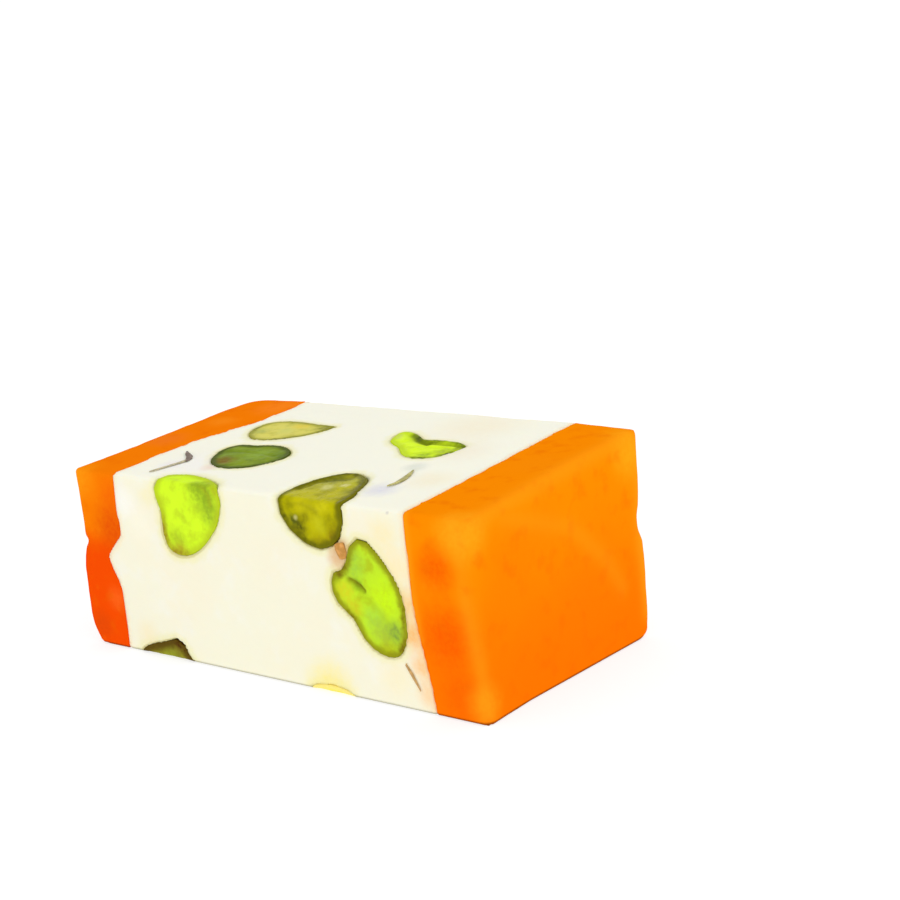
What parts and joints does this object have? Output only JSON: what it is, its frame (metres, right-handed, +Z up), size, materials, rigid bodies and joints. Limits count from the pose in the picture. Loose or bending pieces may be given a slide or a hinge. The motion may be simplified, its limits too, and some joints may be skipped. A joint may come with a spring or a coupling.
{
  "type": "nougat bar",
  "caption": "Cut bar of soft white nougat with sliced pistachio kernels, between two layers of apricot fruit paste.",
  "frame": {"origin": "on the surface the bar rests on, under the middle of its length and depth", "axes": "+X from the left fruit layer to the right one along the bar's length, -Y the front cut face, +Z up"},
  "size_m": [0.059, 0.031, 0.0238],
  "materials": {
    "nougat": "soft cream-white nougat with a fine chalky surface and faint sheen",
    "apricot_paste": "orange apricot fruit paste, smooth and slightly glossy",
    "apricot_paste_deep": "deeper red-orange apricot fruit paste, smooth and slightly glossy",
    "pistachio_lime": "bright lime-green cut pistachio flesh with a thin olive rim",
    "pistachio_olive": "olive-mustard pistachio flesh with a dark olive rim, a little oily",
    "pistachio_dark": "dark green pistachio flesh with a darker rim",
    "pistachio_pale": "pale yellow-green pistachio flesh with a green rim",
    "pistachio_skin": "thin papery red-brown pistachio skin"
  },
  "bodies": {
    "root": {"nougat_core": "nougat", "apricot_layer_left": "apricot_paste_deep", "apricot_layer_right": "apricot_paste", "pistachio_front_left": "pistachio_lime", "pistachio_front_right": "pistachio_lime", "pistachio_top_right": "pistachio_lime", "pistachio_edge_middle": "pistachio_olive", "pistachio_top_left": "pistachio_dark", "pistachio_top_left_back": "pistachio_pale", "pistachio_foot_left": "pistachio_olive", "pistachio_foot_right": "pistachio_pale", "pistachio_back_right": "pistachio_lime", "pistachio_back_middle": "pistachio_olive", "pistachio_back_left": "pistachio_lime", "pistachio_back_low": "pistachio_dark", "pistachio_under_right": "pistachio_lime", "pistachio_under_left": "pistachio_olive"}
  },
  "joints": []
}
